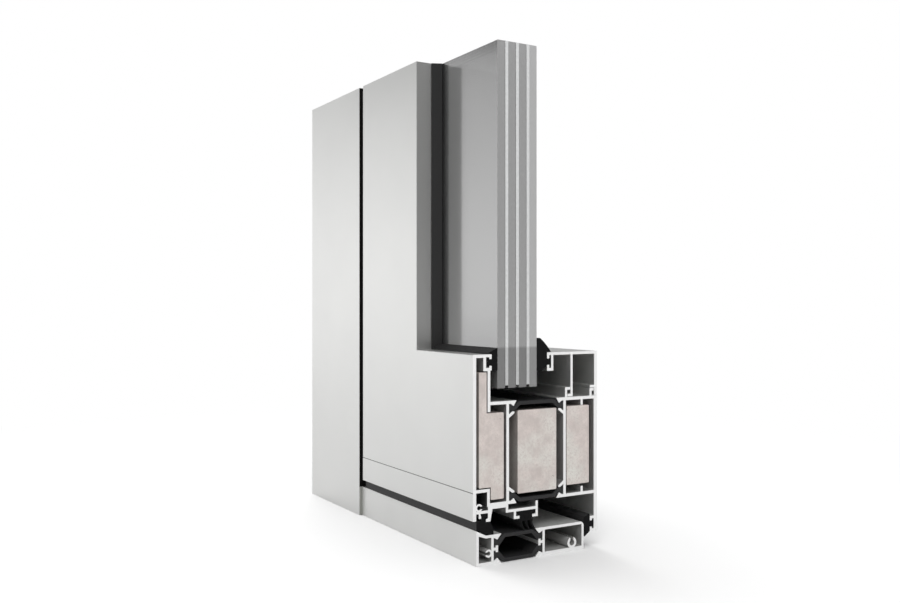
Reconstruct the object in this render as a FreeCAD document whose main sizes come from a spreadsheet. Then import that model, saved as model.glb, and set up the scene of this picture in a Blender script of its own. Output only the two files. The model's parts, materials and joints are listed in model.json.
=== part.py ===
import FreeCAD, Part
import math
import os

import Sketcher

# Corner sample of a fire rated aluminium door: the foot of a jamb, the bottom corner of the leaf
# with its glass, and the threshold under it. Everything is cut square at the right hand end and
# at the top, so the sections of the rail and the threshold show.
#
# Every profile section is drawn in two directions. Depth runs from the front face of the door to
# its back. Reach runs across the face: away from the wall on the jamb, up from the floor on the
# threshold, and from the leaf's outer edge towards the glass on the stile and the rail.
# In the finished part X runs along the door, Y from front to back and Z up. The origin is at the
# middle of the footprint, on the floor.

doc = FreeCAD.newDocument("door_frame_section")

SIZES = [
    # the whole sample
    ("door_depth", 78.0, "front face to back face"),
    ("sample_height", 262.0, "floor to the cut top"),
    ("rail_length", 58.2, "rail seen beyond the stile, up to the cut end"),
    ("leaf_face", 68.4, "width of the leaf's front face"),
    ("leaf_gap", 5.1, "joint between jamb and leaf at the front"),
    ("jamb_face", 76.2, "width of the jamb's front face"),
    ("carrier_face", 13.8, "height of the seal carrier's front face"),
    ("threshold_gap", 4.9, "joint between threshold and seal carrier"),
    # walls of the aluminium profiles
    ("face_wall", 1.9, "outer faces"),
    ("back_wall", 2.2, "back face of the leaf"),
    ("web_wall", 1.6, "inner walls"),
    ("lip_wall", 1.4, "lips, hooks and claws"),
    # leaf section
    ("front_shell", 21.4, "depth of the front shell"),
    ("back_shell", 22.4, "depth of the back shell"),
    ("step_depth", 8.3, "front lip of the leaf, before the section steps out"),
    ("step_drop", 7.3, "step of the leaf body past its front lip"),
    ("rebate_depth", 10.2, "front side of the glass rebate"),
    ("rebate_drop", 23.7, "floor of the glass rebate below the edge of the face"),
    ("rebate_rib", 3.4, "locating rib under the rebate floor"),
    ("back_flange", 27.4, "back face past the leaf's front lip"),
    ("back_rib_place", 11.0, "locating ribs of the back shell, from the back face"),
    ("back_rib_height", 3.0, "height of these ribs"),
    # gasket grooves
    ("groove_back", 6.1, "depth at which the glazing groove's back wall starts"),
    ("groove_depth", 2.6, "inside of a gasket groove, without its lips"),
    ("groove_height", 5.3, "inside of a gasket groove, along its mouth"),
    ("groove_mouth", 3.3, "mouth between the two lips"),
    ("glazing_lip", 3.3, "lips of the glazing groove, from its back wall"),
    # seats of the thermal break strips
    ("barb_reach", 4.6, "barb past the shell"),
    ("barb_tip", 2.8, "tip of the barb past the shell and below its edge"),
    ("barb_heel", 1.1, "underside of the barb past the shell"),
    ("claw_reach", 3.3, "slanted claw past the shell"),
    ("claw_tip", 5.5, "tip of the claw below the edge"),
    ("claw_root", 7.2, "root of the claw below the edge"),
    ("claw_end", 0.85, "thickness of the claw at its tip"),
    ("claw_base", 1.8, "thickness of the claw at its root"),
    ("strip_wall", 1.8, "wall of a thermal break strip"),
    ("strip_inset", 0.6, "flat of a strip below the edge of the shells"),
    ("strip_shoulder", 6.0, "end of the flat, from the shell"),
    ("strip_bend", 0.9, "underside of the flat, past its upper side's end"),
    ("strip_play", 0.2, "play of a strip's foot in its seat"),
    # boards in the chambers
    ("board_play", 1.6, "play of a board in its chamber"),
    ("board_fit", 0.6, "play of a board at ribs and steps"),
    ("middle_board_front", 5.3, "middle board, from the front shell"),
    ("middle_board_back", 4.6, "middle board, from the back shell"),
    ("middle_board_low", 4.7, "middle board above the lower strip's edge"),
    ("middle_board_high", 5.2, "middle board below the upper strip's edge"),
    ("back_board_side", 0.5, "back board, from the inner wall"),
    ("back_board_width", 14.8, "depth of the back board"),
    ("back_board_low", 6.0, "back board above the shell's lower edge"),
    ("back_board_high", 4.8, "back board below the shell's upper edge"),
    # glass
    ("glass_front", 14.5, "front of the glass, from the door's front face"),
    ("pane", 4.6, "one sheet of glass"),
    ("pane_count", 4, "sheets of glass"),
    ("interlayer", 1.9, "one fire resisting layer"),
    ("glass_lift", 6.4, "glass above the rebate floor"),
    ("interlayer_recess", 1.4, "edge of the layers inside the glass"),
    # glazing bead
    ("bead_gasket", 6.5, "gap between the glass and the bead, filled by the bead gasket"),
    ("bead_groove_height", 6.7, "inside of the bead's groove, along its mouth"),
    ("bead_web_place", 16.3, "web of the bead, from the back face"),
    ("bead_hook_height", 5.2, "hook that holds the bead's web"),
    ("bead_hook_place", 21.3, "outer side of this hook, from the back face"),
    ("bead_clip_height", 4.0, "clip that holds the bead's back wall"),
    ("bead_clip_hook", 2.9, "hook of the bead over this clip, from the bead's back wall"),
    ("bead_clip_reach", 2.8, "clip along the depth, with its hook"),
    ("bead_clip_place", 5.0, "outer side of this clip, from the back face"),
    ("bead_play", 0.25, "play between the bead and its hooks"),
    # gaskets
    ("gasket_play", 0.2, "play of a gasket in its groove"),
    ("anchor_heel", 0.6, "anchor of a gasket past its neck, behind the lips"),
    ("anchor_end", 0.4, "anchor of a gasket past its neck, at its end"),
    ("gasket_rise", 3.2, "glazing gasket past the edge of the face"),
    ("gasket_lap", 2.1, "glazing gasket over the front lip"),
    ("gasket_edge", 0.5, "thickness of this lap at its edge"),
    ("gasket_ribs", 4, "sealing ribs of the glazing gasket"),
    ("gasket_notch", 0.5, "notches between these ribs"),
    ("bead_gasket_rise", 7.6, "bead gasket past the edge of the face"),
    ("bead_gasket_drop", 3.1, "bead gasket below the neck of its anchor"),
    ("wedge_foot", 2.8, "lower end of the bead gasket"),
    ("wedge_knee", 5.5, "knee of the bead gasket past the edge of the face"),
    ("wedge_cheek", 3.1, "lower bend of its rounded flank past this edge"),
    ("wedge_top", 2.1, "upper end of the bead gasket"),
    ("stop_gasket_low", 2.3, "lip of the stop gasket past the back flange"),
    ("stop_gasket_tip", 0.7, "end of this lip"),
    # jamb
    ("jamb_lip_depth", 6.6, "front lip of the jamb"),
    ("jamb_lip_reach", 8.3, "front lip past the jamb's body"),
    ("jamb_back_face", 47.3, "width of the jamb's back face"),
    ("stop_inset", 9.0, "stop that the back gaskets close on, from the back face"),
    # threshold
    ("threshold_height", 17.5, "top of the threshold's front face"),
    ("threshold_setback", 2.0, "threshold's front face behind the jamb's"),
    ("threshold_lip", 2.8, "front edge above the threshold's tread"),
    ("threshold_edge", 2.7, "solid edge at the top of the front face"),
    ("threshold_slope", 5.6, "depth of the slope behind its front face"),
    ("threshold_front", 10.2, "depth of the front profile"),
    ("threshold_break", 30.0, "space between the front and the back profile"),
    ("threshold_round", 2.4, "rounded corner at the back"),
    ("threshold_barb", 2.2, "tip of the threshold's barbs past the shell"),
    ("threshold_inset", 0.3, "flat of the threshold's strips below the tread"),
    ("threshold_claw", 2.6, "middle claw past the shell"),
    ("threshold_claw_head", 3.4, "height of this claw's head"),
    # screw ports
    ("port_bore", 1.6, "inner radius of a screw port"),
    ("port_wall", 1.3, "wall of a screw port"),
    ("port_slot", 2.0, "open side of a screw port"),
    ("port_inset", 7.8, "back profile's screw port, from the stop"),
    ("small_port_bore", 1.05, "inner radius of the small screw ports"),
    ("small_port_wall", 0.95, "wall of the small screw ports"),
    ("small_port_slot", 1.3, "open side of the small screw ports"),
    ("small_port_height", 5.6, "front profile's screw port, above the floor"),
    # seal carrier
    ("carrier_bar", 2.8, "bar of the carrier below the leaf's bottom wall"),
    ("carrier_step", 19.5, "depth at which the carrier steps down"),
    ("carrier_end", 39.2, "back end of the carrier"),
    ("carrier_foot", 8.0, "end bar of the carrier, from top to bottom"),
    ("carrier_slot_left", 24.3, "near side of the fin gasket's slot"),
    ("carrier_slot_lip", 3.5, "lips of this slot, from its outer sides"),
    ("carrier_web", 3.4, "web over the sweep gasket, above the carrier's lower edge"),
    ("sweep_groove", 3.4, "depth at which the sweep gasket's groove starts"),
    ("sweep_front_lip", 1.05, "front lip of this groove above the carrier's lower edge"),
    ("sweep_lip_nose", 0.85, "thickness of this lip at its end and its root"),
    ("sweep_lip", 7.6, "depth at which the groove's back lip starts"),
    ("sweep_back", 10.2, "back of the sweep gasket's groove"),
    ("sweep_lip_end", 0.4, "slanted end of the back lip above the carrier's lower edge"),
    ("sweep_back_drop", 0.9, "back lip of this groove below the carrier's front"),
    ("sweep_back_slope", 1.3, "slope on the back of this lip"),
    ("fin_wall", 0.8, "wall of one fin"),
    ("fin_count", 3, "fins of the centre gasket"),
    ("fin_pitch", 3.1, "from one fin to the next"),
    ("fin_radius", 7.5, "curve of a fin"),
    ("closing_gap", 0.1, "clearance where a soft lip closes on a profile"),
    ("root", 0.4, "how deep a lip is rooted in the wall that carries it"),
]


class Size:
    """A length known both as a number and as a formula of the sheet's cells."""

    def __init__(self, number, formula):
        self.number = number
        self.formula = formula

    def __add__(self, other):
        other = as_size(other)
        return Size(self.number + other.number, "(%s + %s)" % (self.formula, other.formula))

    def __sub__(self, other):
        other = as_size(other)
        return Size(self.number - other.number, "(%s - %s)" % (self.formula, other.formula))

    def __mul__(self, factor):
        factor = as_size(factor)
        return Size(self.number * factor.number, "(%s * %s)" % (self.formula, factor.formula))

    def __truediv__(self, divisor):
        divisor = as_size(divisor)
        return Size(self.number / divisor.number, "(%s / %s)" % (self.formula, divisor.formula))

    def __neg__(self):
        return as_size(0) - self

    __radd__ = __add__
    __rmul__ = __mul__


def as_size(value):
    """Plain numbers take part in formulas too."""
    if isinstance(value, Size):
        return value
    return Size(float(value), repr(float(value)))


class Sizes:
    """Every cell of the sheet, by its alias."""


def fill_sheet():
    sheet = doc.addObject("Spreadsheet::Sheet", "Sizes")
    sizes = Sizes()
    for row, (alias, value, meaning) in enumerate(SIZES, start=1):
        sheet.set("A%d" % row, alias)
        sheet.set("B%d" % row, str(value))
        sheet.set("C%d" % row, meaning)
        sheet.setAlias("B%d" % row, alias)
        setattr(sizes, alias, Size(value, "Sizes." + alias))
    doc.recompute()
    return sizes


s = fill_sheet()

# Places that follow from the sizes above, seen from the front
tread = s.threshold_height - s.threshold_lip
leaf_bottom = s.threshold_height + s.threshold_gap
rail_base = leaf_bottom + s.carrier_face
sample_length = s.jamb_face + s.leaf_gap + s.leaf_face + s.rail_length
left_end = -sample_length / 2
stile_base = left_end + s.jamb_face + s.leaf_gap
front_plane = -s.door_depth / 2

# Places in the leaf's section
back_wall_start = s.door_depth - s.back_shell
rebate_floor = s.leaf_face - s.rebate_drop
groove_wall_end = s.groove_back + s.web_wall
groove_top = s.leaf_face - s.lip_wall
groove_low = groove_top - s.groove_height
lip_depth = groove_wall_end + s.glazing_lip
glass_thickness = s.pane * s.pane_count + s.interlayer * (s.pane_count - 1)
glass_back = s.glass_front + glass_thickness
glass_edge = rebate_floor + s.glass_lift
corner_reach = s.back_flange + s.stop_gasket_low
stop_depth = s.door_depth - s.stop_inset
bead_groove_wall = glass_back + s.bead_gasket + s.groove_depth
bead_groove_low = groove_top - s.bead_groove_height
flange_groove_low = s.lip_wall - s.back_flange
flange_groove_top = flange_groove_low + s.groove_height + s.lip_wall
bead_hook_side = s.door_depth - s.bead_hook_place + s.lip_wall
bead_web_side = s.door_depth - s.bead_web_place - s.lip_wall


def origin_plane(body, role):
    for feature in body.Origin.OriginFeatures:
        if feature.Role == role:
            return feature
    raise RuntimeError("no plane " + role)


def tie(sketch, kind, geometry, point, size):
    """One distance from the sketch's origin, bound to the sheet."""
    index = sketch.addConstraint(Sketcher.Constraint(kind, -1, 1, geometry, point, size.number))
    sketch.setExpression("Constraints[%d]" % index, size.formula)


def draw_loop(sketch, corners):
    """A closed outline of straight edges through corners that follow the sheet."""
    first = sketch.GeometryCount
    count = len(corners)
    spots = [FreeCAD.Vector(across.number, up.number, 0) for across, up in corners]
    edges = [Part.LineSegment(spots[i], spots[(i + 1) % count]) for i in range(count)]
    sketch.addGeometry(edges, False)
    joints = []
    for i in range(count):
        joints.append(Sketcher.Constraint("Coincident", first + i, 2, first + (i + 1) % count, 1))
    sketch.addConstraint(joints)
    for i, (across, up) in enumerate(corners):
        tie(sketch, "DistanceX", first + i, 1, across)
        tie(sketch, "DistanceY", first + i, 1, up)


class Run:
    """Where a profile lies: its direction, its length, its start and whether its foot is mitred."""

    def __init__(self, name, upright, start_x, start_z, length, mitred=False):
        self.name = name
        self.upright = upright
        self.start_x = start_x
        self.start_z = start_z
        self.length = length
        self.mitred = mitred


class Piece:
    """One extruded piece: a body whose pads share the length of its run."""

    def __init__(self, label, run):
        self.run = run
        self.body = doc.addObject("PartDesign::Body", label)
        self.body.Label = label
        self.body.setExpression(".Placement.Base.x", run.start_x.formula)
        self.body.setExpression(".Placement.Base.y", front_plane.formula)
        self.body.setExpression(".Placement.Base.z", run.start_z.formula)

    def sketch(self, name):
        """A sketch across the run. Its two directions are depth and reach, in either order."""
        sketch = self.body.newObject("Sketcher::SketchObject", self.body.Label + "_" + name)
        role = "XY_Plane" if self.run.upright else "YZ_Plane"
        sketch.AttachmentSupport = [(origin_plane(self.body, role), "")]
        sketch.MapMode = "FlatFace"
        return sketch

    def turned(self, corners):
        """Depth and reach in the order of this run's sketch."""
        pairs = [(as_size(depth), as_size(reach)) for depth, reach in corners]
        if self.run.upright:
            return [(reach, depth) for depth, reach in pairs]
        return pairs

    def pad(self, sketch):
        pad = self.body.newObject("PartDesign::Pad", sketch.Name + "_pad")
        pad.Profile = sketch
        pad.setExpression("Length", self.run.length.formula)
        sketch.Visibility = False

    def add(self, name, *loops):
        """Pads the section inside the first loop and outside the others."""
        sketch = self.sketch(name)
        for corners in loops:
            draw_loop(sketch, self.turned(corners))
        self.pad(sketch)

    def finish(self):
        """Cuts the foot at 45 degrees through the corner of the leaf, where the run has a mitre."""
        if not self.run.mitred:
            return
        margin = as_size(2)
        low = -corner_reach - margin
        high = s.leaf_face + s.bead_gasket_rise + margin
        corners = [(-margin, low), (corner_reach + high, high), (-margin, high)]
        if self.run.upright:
            corners = [(reach, along) for along, reach in corners]
        sketch = self.body.newObject("Sketcher::SketchObject", self.body.Label + "_mitre")
        sketch.AttachmentSupport = [(origin_plane(self.body, "XZ_Plane"), "")]
        sketch.MapMode = "FlatFace"
        draw_loop(sketch, corners)
        pocket = self.body.newObject("PartDesign::Pocket", self.body.Label + "_mitre_cut")
        pocket.Profile = sketch
        pocket.Midplane = True
        pocket.Type = "Length"
        both_sides = (s.door_depth + margin) * 2
        pocket.setExpression("Length", both_sides.formula)
        sketch.Visibility = False


JAMB = Run("jamb", True, left_end, as_size(0), s.sample_height)
STILE = Run("stile", True, stile_base, rail_base - corner_reach,
            s.sample_height - rail_base + corner_reach, mitred=True)
RAIL = Run("rail", False, stile_base - corner_reach, rail_base,
           s.rail_length + s.leaf_face + corner_reach, mitred=True)
CARRIER = Run("carrier", False, stile_base, leaf_bottom, s.leaf_face + s.rail_length)
THRESHOLD = Run("threshold", False, left_end + s.jamb_face, as_size(0),
                s.leaf_gap + s.leaf_face + s.rail_length)


def hollow(corners, walls):
    """A closed shell's outline and the chamber inside it, for corners given anticlockwise.

    Its edges are square to each other, and walls gives the thickness of each, from the edge that
    starts at the first corner.
    """
    count = len(corners)
    corners = [(as_size(depth), as_size(reach)) for depth, reach in corners]
    chamber = []
    for i in range(count):
        before = corners[i - 1]
        here = corners[i]
        after = corners[(i + 1) % count]
        depth, reach = here
        for start, end, wall in ((before, here, walls[i - 1]), (here, after, walls[i])):
            along = end[0].number - start[0].number
            rise = end[1].number - start[1].number
            if abs(along) > abs(rise):
                reach = reach + wall if along > 0 else reach - wall
            else:
                depth = depth - wall if rise > 0 else depth + wall
        chamber.append((depth, reach))
    return corners, chamber


def add_strip_seat(piece, name, wall, edge, outward, inward):
    """Barb and slanted claw that grip the foot of a thermal break strip.

    wall is the depth of the shell's face, edge the reach of its outer side; outward and inward
    are 1 or -1 along depth and reach.
    """

    def spot(past_wall, past_edge):
        return wall + past_wall * outward, edge + past_edge * inward

    barb = [spot(-s.root, 0), spot(s.barb_reach, 0), spot(s.barb_tip, s.barb_tip),
            spot(s.barb_heel, s.web_wall), spot(-s.root, s.web_wall)]
    piece.add(name + "_barb", barb)
    claw = [spot(-s.root, s.claw_root), spot(s.claw_reach - s.lip_wall, s.claw_tip),
            spot(s.claw_reach, s.claw_tip), spot(s.claw_reach, s.claw_tip + s.claw_end),
            spot(-s.root, s.claw_root + s.claw_base)]
    piece.add(name + "_claw", claw)


def add_groove_lip(piece, name, root, mouth, inward, outward, height=s.groove_height):
    """Hooked lip of a gasket groove that opens along depth.

    root is the depth and reach where the lip leaves its wall, mouth the depth of its free end;
    inward is 1 or -1 along reach, towards the groove's middle, and height is the groove's own.
    """
    depth, reach = root
    thick = s.lip_wall * inward
    hook = (height - s.groove_mouth) / 2 * inward
    lip = [(depth - s.root * outward, reach), (mouth, reach), (mouth, reach + thick + hook),
           (mouth - s.lip_wall * outward, reach + thick + hook),
           (mouth - s.lip_wall * outward, reach + thick), (depth - s.root * outward, reach + thick)]
    piece.add(name, lip)


def leaf_front_profile(run):
    """Front shell of the leaf, with the glass rebate and the front glazing groove."""
    piece = Piece(run.name + "_front_profile", run)
    corners = [(0, s.leaf_face), (0, 0), (s.step_depth, 0), (s.step_depth, -s.step_drop),
               (s.front_shell, -s.step_drop), (s.front_shell, rebate_floor),
               (s.rebate_depth, rebate_floor), (s.rebate_depth, groove_low),
               (groove_wall_end, groove_low), (groove_wall_end, s.leaf_face)]
    walls = [s.face_wall] + [s.web_wall] * 9
    piece.add("shell", *hollow(corners, walls))
    rib_depth = s.rebate_depth - s.web_wall
    rib_top = rebate_floor - s.web_wall + s.root
    rib_end = rebate_floor - s.web_wall - s.rebate_rib
    piece.add("locating_rib", [(rib_depth, rib_end), (s.rebate_depth, rib_end),
                               (s.rebate_depth, rib_top), (rib_depth, rib_top)])
    add_groove_lip(piece, "upper_lip", (groove_wall_end, s.leaf_face), lip_depth, -1, 1)
    add_groove_lip(piece, "lower_lip", (groove_wall_end, groove_low - s.lip_wall), lip_depth, 1, 1)
    add_strip_seat(piece, "glass_side", s.front_shell, rebate_floor, 1, -1)
    add_strip_seat(piece, "outer_side", s.front_shell, -s.step_drop, 1, 1)
    piece.finish()


def leaf_back_profile(run):
    """Back shell of the leaf, with the flange that overlaps the frame and the bead's hooks."""
    piece = Piece(run.name + "_back_profile", run)
    back = s.door_depth
    corners = [(back_wall_start, rebate_floor), (back_wall_start, -s.step_drop),
               (back, -s.step_drop), (back, rebate_floor)]
    piece.add("shell", *hollow(corners, [s.web_wall, s.web_wall, s.back_wall, s.web_wall]))
    inner_back = back - s.back_wall
    piece.add("flange", [(inner_back, -s.back_flange), (back, -s.back_flange),
                         (back, s.root - s.step_drop), (inner_back, s.root - s.step_drop)])
    hook_end = inner_back - s.groove_depth
    for name, reach, inward in (("flange_end_hook", -s.back_flange, 1),
                                ("flange_hook", flange_groove_top, -1)):
        add_groove_lip(piece, name, (inner_back, reach), hook_end, inward, -1)
    rib = back - s.back_rib_place
    for name, start, inward in (("upper_rib", rebate_floor - s.web_wall, -1),
                                ("lower_rib", s.web_wall - s.step_drop, 1)):
        piece.add(name, [(rib, start - s.root * inward), (rib + s.lip_wall, start - s.root * inward),
                         (rib + s.lip_wall, start + s.back_rib_height * inward),
                         (rib, start + s.back_rib_height * inward)])
    add_bead_hooks(piece)
    add_strip_seat(piece, "glass_side", back_wall_start, rebate_floor, -1, -1)
    add_strip_seat(piece, "outer_side", back_wall_start, -s.step_drop, -1, 1)
    piece.finish()


def add_bead_hooks(piece):
    """Hook for the bead's web and clip for its back wall, on the floor of the rebate."""
    floor = rebate_floor
    hook = s.door_depth - s.bead_hook_place
    hook_top = floor + s.bead_hook_height
    hook_end = bead_web_side - s.bead_play
    piece.add("bead_hook", [(hook, floor - s.root), (bead_hook_side, floor - s.root),
                            (bead_hook_side, hook_top - s.lip_wall),
                            (hook_end, hook_top - s.lip_wall), (hook_end, hook_top),
                            (hook, hook_top)])
    clip = s.door_depth - s.bead_clip_place
    clip_top = floor + s.bead_clip_height
    clip_end = clip + s.bead_clip_reach
    piece.add("bead_clip", [(clip, floor - s.root), (clip + s.lip_wall, floor - s.root),
                            (clip + s.lip_wall, clip_top - s.lip_wall),
                            (clip_end, clip_top - s.lip_wall), (clip_end, clip_top),
                            (clip, clip_top)])


def glazing_bead(run):
    """Clipped profile that holds the glass from behind."""
    piece = Piece(run.name + "_glazing_bead", run)
    back = s.door_depth
    top = s.leaf_face
    foot = rebate_floor + s.bead_play
    groove_wall = bead_groove_wall
    low = bead_groove_low - s.lip_wall
    wall = s.lip_wall
    web = bead_web_side + wall
    toe = bead_hook_side + s.bead_play
    clip_top = rebate_floor + s.bead_clip_height + s.bead_play
    inner_back = back - s.face_wall
    piece.add("bead", [
        (groove_wall, top), (groove_wall, low), (groove_wall + wall, low),
        (groove_wall + wall, top - wall), (bead_web_side, top - wall), (bead_web_side, foot + wall),
        (toe, foot + wall), (toe, foot), (web, foot), (web, top - wall),
        (inner_back, top - wall), (inner_back, clip_top + wall),
        (inner_back - s.bead_clip_hook, clip_top + wall), (inner_back - s.bead_clip_hook, clip_top),
        (inner_back, clip_top), (inner_back, foot), (back, foot), (back, top)])
    mouth = groove_wall - s.groove_depth
    height = s.bead_groove_height
    add_groove_lip(piece, "upper_lip", (groove_wall, top), mouth, -1, -1, height)
    add_groove_lip(piece, "lower_lip", (groove_wall, low), mouth, 1, -1, height)
    piece.finish()


def thermal_strip(label, run, front_face, back_face, edge, inward):
    """Insulating strip that joins two shells: a flat web on two slanted legs with gripped feet."""
    piece = Piece(label, run)
    foot_high = s.web_wall + s.strip_play
    foot_low = s.claw_tip - s.strip_play
    neck_high = s.barb_tip + s.strip_play
    flat = s.strip_inset
    half = [(s.strip_play, foot_high), (s.barb_heel, foot_high + s.strip_play),
            (s.barb_tip, neck_high + s.strip_play), (s.strip_shoulder, flat)]
    under = [(s.strip_shoulder + s.strip_bend, flat + s.strip_wall),
             (s.claw_reach, foot_low), (s.strip_play, foot_low)]

    def front(spot):
        return front_face + spot[0], edge + spot[1] * inward

    def back(spot):
        return back_face - spot[0], edge + spot[1] * inward

    corners = [front(spot) for spot in half] + [back(spot) for spot in reversed(half)]
    corners += [back(spot) for spot in reversed(under)] + [front(spot) for spot in under]
    piece.add("strip", corners)
    piece.finish()


def leaf_boards(run):
    """Three fire resisting boards, one in each chamber of the leaf section."""
    play = s.board_play
    fit = s.board_fit
    front = s.face_wall + play
    back = s.front_shell - s.web_wall - play
    low = s.web_wall - s.step_drop + play
    ledge = s.web_wall + fit
    step = s.step_depth + s.web_wall + fit
    inner = s.rebate_depth - s.web_wall - fit
    shoulder = rebate_floor - s.web_wall - s.rebate_rib - fit
    top = groove_low - s.web_wall - fit
    piece = Piece(run.name + "_front_board", run)
    piece.add("board", [(front, top), (front, ledge), (step, ledge), (step, low), (back, low),
                        (back, shoulder), (inner, shoulder), (inner, top)])
    piece.finish()
    middle_board(run, -s.step_drop, rebate_floor)
    back_board(run, -s.step_drop, rebate_floor)


def rectangle(depth_start, depth_end, reach_start, reach_end):
    return [(depth_start, reach_start), (depth_end, reach_start),
            (depth_end, reach_end), (depth_start, reach_end)]


def middle_board(run, low_edge, high_edge):
    piece = Piece(run.name + "_middle_board", run)
    piece.add("board", rectangle(s.front_shell + s.middle_board_front,
                                 back_wall_start - s.middle_board_back,
                                 low_edge + s.middle_board_low, high_edge - s.middle_board_high))
    piece.finish()


def back_board(run, low_edge, high_edge):
    piece = Piece(run.name + "_back_board", run)
    start = back_wall_start + s.web_wall + s.back_board_side
    piece.add("board", rectangle(start, start + s.back_board_width,
                                 low_edge + s.back_board_low, high_edge - s.back_board_high))
    piece.finish()


def glazing_gasket(run):
    """Rubber gasket between the leaf's front lip and the glass."""
    piece = Piece(run.name + "_glazing_gasket", run)
    play = s.gasket_play
    face = s.glass_front
    lip = lip_depth + play
    neck_low = groove_top - (s.groove_height + s.groove_mouth) / 2 + play
    neck_high = neck_low + s.groove_mouth - play * 2
    anchor_back = groove_wall_end + play
    anchor_front = lip_depth - s.lip_wall - play
    top = s.leaf_face + s.gasket_rise
    notch = s.gasket_notch
    corners = [(anchor_back, neck_low - s.anchor_end), (anchor_front, neck_low - s.anchor_heel),
               (anchor_front, neck_low), (lip, neck_low), (lip, groove_low - s.lip_wall),
               (face, groove_low - s.lip_wall)]
    pitch = (top - groove_low) / s.gasket_ribs
    for rib in range(1, int(s.gasket_ribs.number)):
        place = groove_low + pitch * rib
        corners += [(face, place - notch), (face - notch, place), (face, place + notch)]
    lap = lip - s.gasket_lap
    low = s.leaf_face + play
    corners += [(face, top), (lap, low + s.gasket_edge), (lap, low), (lip, low), (lip, neck_high),
                (anchor_front, neck_high), (anchor_front, neck_high + s.anchor_heel),
                (anchor_back, neck_high + s.anchor_end)]
    piece.add("gasket", corners)
    piece.finish()


def bead_gasket(run):
    """Wedge gasket between the bead and the glass."""
    piece = Piece(run.name + "_bead_gasket", run)
    play = s.gasket_play
    wall = bead_groove_wall
    mouth = wall - s.groove_depth
    neck_low = groove_top - (s.bead_groove_height + s.groove_mouth) / 2 + play
    neck_high = neck_low + s.groove_mouth - play * 2
    anchor_back = wall - play
    anchor_front = mouth + s.lip_wall + play
    top = s.leaf_face + s.bead_gasket_rise
    low = neck_low - s.bead_gasket_drop
    piece.add("gasket", [
        (glass_back, low), (glass_back + s.wedge_foot, low), (mouth - play, neck_low - s.lip_wall),
        (mouth - play, neck_low), (anchor_front, neck_low),
        (anchor_front, neck_low - s.anchor_heel), (anchor_back, neck_low - s.anchor_end),
        (anchor_back, neck_high + s.anchor_end), (anchor_front, neck_high + s.anchor_heel),
        (anchor_front, neck_high), (mouth - play, neck_high), (mouth - play, s.leaf_face + play),
        (wall, s.leaf_face + play), ((glass_back + wall * 3) / 4, s.leaf_face + s.wedge_cheek),
        ((glass_back + wall) / 2, s.leaf_face + s.wedge_knee),
        (glass_back + s.wedge_top, top), (glass_back, top)])
    piece.finish()


def stop_gasket(run):
    """Gasket of the leaf's back flange, which closes on the threshold and on the jamb."""
    piece = Piece(run.name + "_stop_gasket", run)
    play = s.gasket_play
    inner_back = s.door_depth - s.back_wall
    mouth = inner_back - s.groove_depth
    neck_low = flange_groove_low + (s.groove_height - s.groove_mouth) / 2 + play
    neck_high = neck_low + s.groove_mouth - play * 2
    anchor_back = inner_back - play
    anchor_front = mouth + s.lip_wall + play
    seat = stop_depth + s.closing_gap
    piece.add("gasket", [
        (seat, -corner_reach), (seat + s.stop_gasket_tip, -corner_reach),
        (mouth - play, -s.back_flange), (mouth - play, neck_low), (anchor_front, neck_low),
        (anchor_front, neck_low - s.anchor_heel), (anchor_back, neck_low - s.anchor_end),
        (anchor_back, neck_high + s.anchor_end), (anchor_front, neck_high + s.anchor_heel),
        (anchor_front, neck_high), (mouth - play, neck_high),
        (mouth - play, flange_groove_top + s.lip_wall), (seat, flange_groove_top)])
    piece.finish()


def jamb_front_profile():
    """Front shell of the jamb, with the lip that covers the joint."""
    piece = Piece("jamb_front_profile", JAMB)
    body_edge = s.jamb_face - s.jamb_lip_reach
    corners = [(0, s.jamb_face), (0, 0), (s.front_shell, 0), (s.front_shell, body_edge),
               (s.jamb_lip_depth, body_edge), (s.jamb_lip_depth, s.jamb_face)]
    piece.add("shell", *hollow(corners, [s.face_wall] + [s.web_wall] * 5))
    add_strip_seat(piece, "leaf_side", s.front_shell, body_edge, 1, -1)
    add_strip_seat(piece, "wall_side", s.front_shell, as_size(0), 1, 1)


def jamb_back_profile():
    """Back shell of the jamb, stepped where the leaf's flange closes over it."""
    piece = Piece("jamb_back_profile", JAMB)
    body_edge = s.jamb_face - s.jamb_lip_reach
    corners = [(back_wall_start, body_edge), (back_wall_start, 0), (s.door_depth, 0),
               (s.door_depth, s.jamb_back_face), (stop_depth, s.jamb_back_face),
               (stop_depth, body_edge)]
    piece.add("shell", *hollow(corners, [s.web_wall] * 2 + [s.face_wall] + [s.web_wall] * 3))
    add_strip_seat(piece, "leaf_side", back_wall_start, body_edge, -1, -1)
    add_strip_seat(piece, "wall_side", back_wall_start, as_size(0), -1, 1)


def jamb_boards():
    body_edge = s.jamb_face - s.jamb_lip_reach
    play = s.board_play
    piece = Piece("jamb_front_board", JAMB)
    piece.add("board", rectangle(s.face_wall + play, s.front_shell - s.web_wall - play,
                                 s.web_wall + s.back_board_side, body_edge - s.web_wall - play))
    middle_board(JAMB, as_size(0), body_edge)
    piece = Piece("jamb_back_board", JAMB)
    start = back_wall_start + s.web_wall + s.back_board_side
    piece.add("board", rectangle(start, stop_depth - s.board_fit,
                                 s.web_wall + s.back_board_side,
                                 s.jamb_back_face - s.web_wall - play))


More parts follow.
